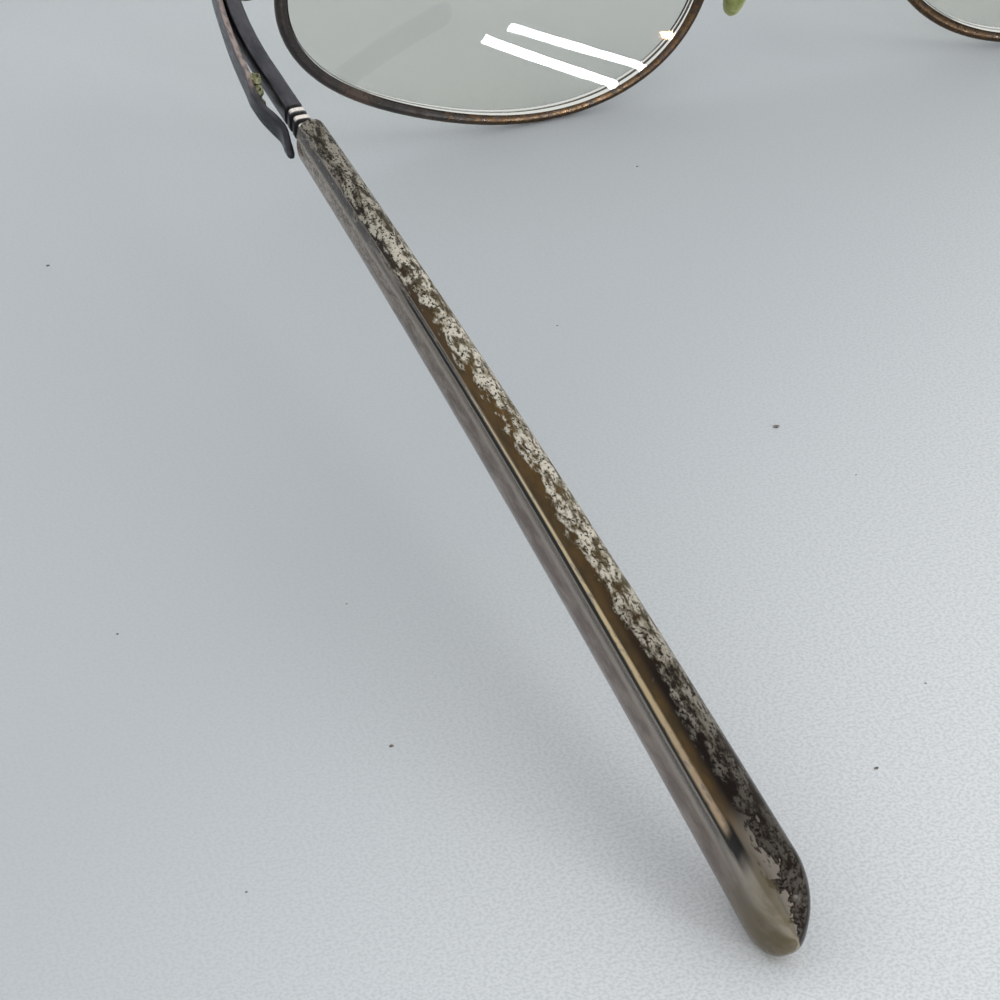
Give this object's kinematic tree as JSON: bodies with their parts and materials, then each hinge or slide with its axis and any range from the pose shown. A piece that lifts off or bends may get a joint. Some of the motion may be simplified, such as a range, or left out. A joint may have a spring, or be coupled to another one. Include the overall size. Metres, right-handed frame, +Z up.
{
  "type": "eyeglasses, broken",
  "caption": "Full-rim metal eyeglasses, worn, with the outer plate of the left temple sprung loose from its wire.",
  "frame": {"origin": "on the surface that the glasses lie on, under the middle of their box", "axes": "+X towards the wearer's left, +Y from the front towards the ends of the temples, +Z up"},
  "size_m": [0.1452, 0.1459, 0.0398],
  "materials": {
    "enamel": "dark brown enamel over copper alloy, worn through in places",
    "gunmetal": "satin gunmetal plating, scuffed",
    "hinge_metal": "dull nickel silver",
    "screw_steel": "satin",
    "lens": "clear, faint warm grey tint",
    "pad": "yellowed, olive green with verdigris",
    "sleeve": "smoky brown acetate, bloomed and crazed along its top",
    "solder": "corroded, olive verdigris"
  },
  "bodies": {
    "front": {"rim_left": "enamel", "rim_right": "enamel", "lens_left": "lens", "lens_right": "lens", "bridge": "enamel", "pad_arm_left": "enamel", "pad_arm_right": "enamel", "pad_box_left": "enamel", "pad_box_right": "enamel", "pad_screws": "screw_steel", "end_piece_left": "enamel", "end_piece_right": "enamel", "lock_block_left": "enamel", "lock_block_right": "enamel", "rim_screws": "screw_steel", "hinge_front_left": "hinge_metal", "hinge_front_right": "hinge_metal", "hinge_screws": "screw_steel"},
    "temple_left": {"hinge_temple_left": "hinge_metal", "temple_wire_left": "gunmetal", "temple_plate_left": "gunmetal", "solder_left": "solder", "temple_sleeve_left": "sleeve"},
    "temple_right": {"hinge_temple_right": "hinge_metal", "temple_wire_right": "gunmetal", "temple_plate_right": "gunmetal", "temple_sleeve_right": "sleeve"},
    "pad_left": {"nose_pad_left": "pad", "pad_tab_left": "hinge_metal"},
    "pad_right": {"nose_pad_right": "pad", "pad_tab_right": "hinge_metal"}
  },
  "joints": [
    {"name": "fold_left", "type": "hinge", "parent": "front", "child": "temple_left", "pos_m": [0.06723, -0.06034, 0.02506], "axis": [0, 0, 1], "range_deg": [0, 87]},
    {"name": "fold_right", "type": "hinge", "parent": "front", "child": "temple_right", "pos_m": [-0.06723, -0.06034, 0.02506], "axis": [0, 0, -1], "range_deg": [0, 80]},
    {"name": "rock_left", "type": "hinge", "parent": "front", "child": "pad_left", "pos_m": [0.01223, -0.06367, 0.01875], "axis": [0.454, 0.891, 0], "range_deg": [-10, 10]},
    {"name": "rock_right", "type": "hinge", "parent": "front", "child": "pad_right", "pos_m": [-0.01223, -0.06367, 0.01875], "axis": [-0.454, 0.891, 0], "range_deg": [-10, 10]}
  ]
}
